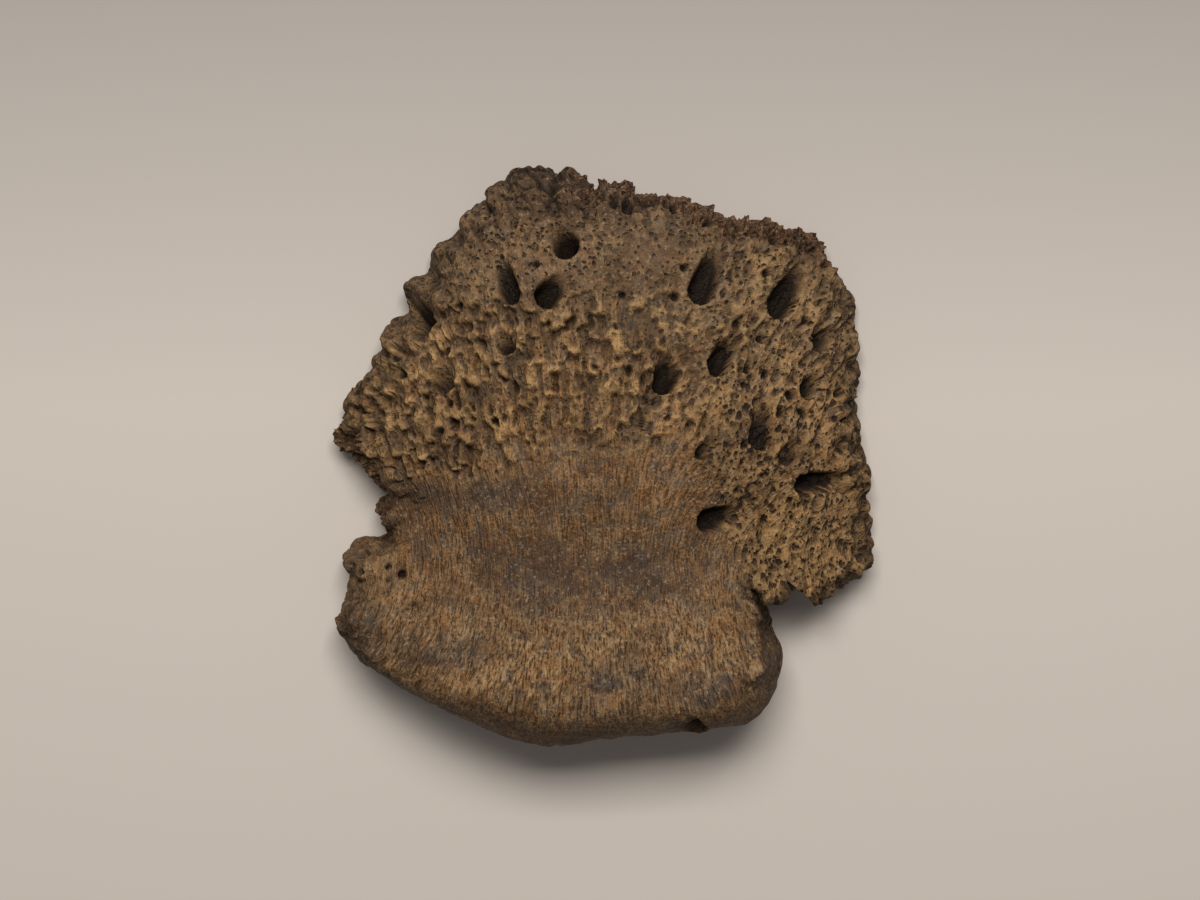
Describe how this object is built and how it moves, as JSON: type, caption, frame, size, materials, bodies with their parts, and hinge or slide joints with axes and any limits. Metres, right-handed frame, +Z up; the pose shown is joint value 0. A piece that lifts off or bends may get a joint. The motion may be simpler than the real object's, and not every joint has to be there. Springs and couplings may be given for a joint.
{
  "type": "fossil ceratopsian ungual",
  "caption": "Hoof-shaped fossil toe bone of a horned dinosaur: a wedge with a dished joint end, notched sides and blood-vessel canals, lying on its sole.",
  "frame": {"origin": "on the floor, under the middle of the bone's box", "axes": "+Z up from the sole to the back, +Y from the joint end to the hoof edge, +X to the right seen from above"},
  "size_m": [0.0932, 0.0966, 0.0376],
  "materials": {
    "bone": "dull brown fossil bone, fibrous and pitted"
  },
  "bodies": {
    "root": {"ungual_bone": "bone"}
  },
  "joints": []
}
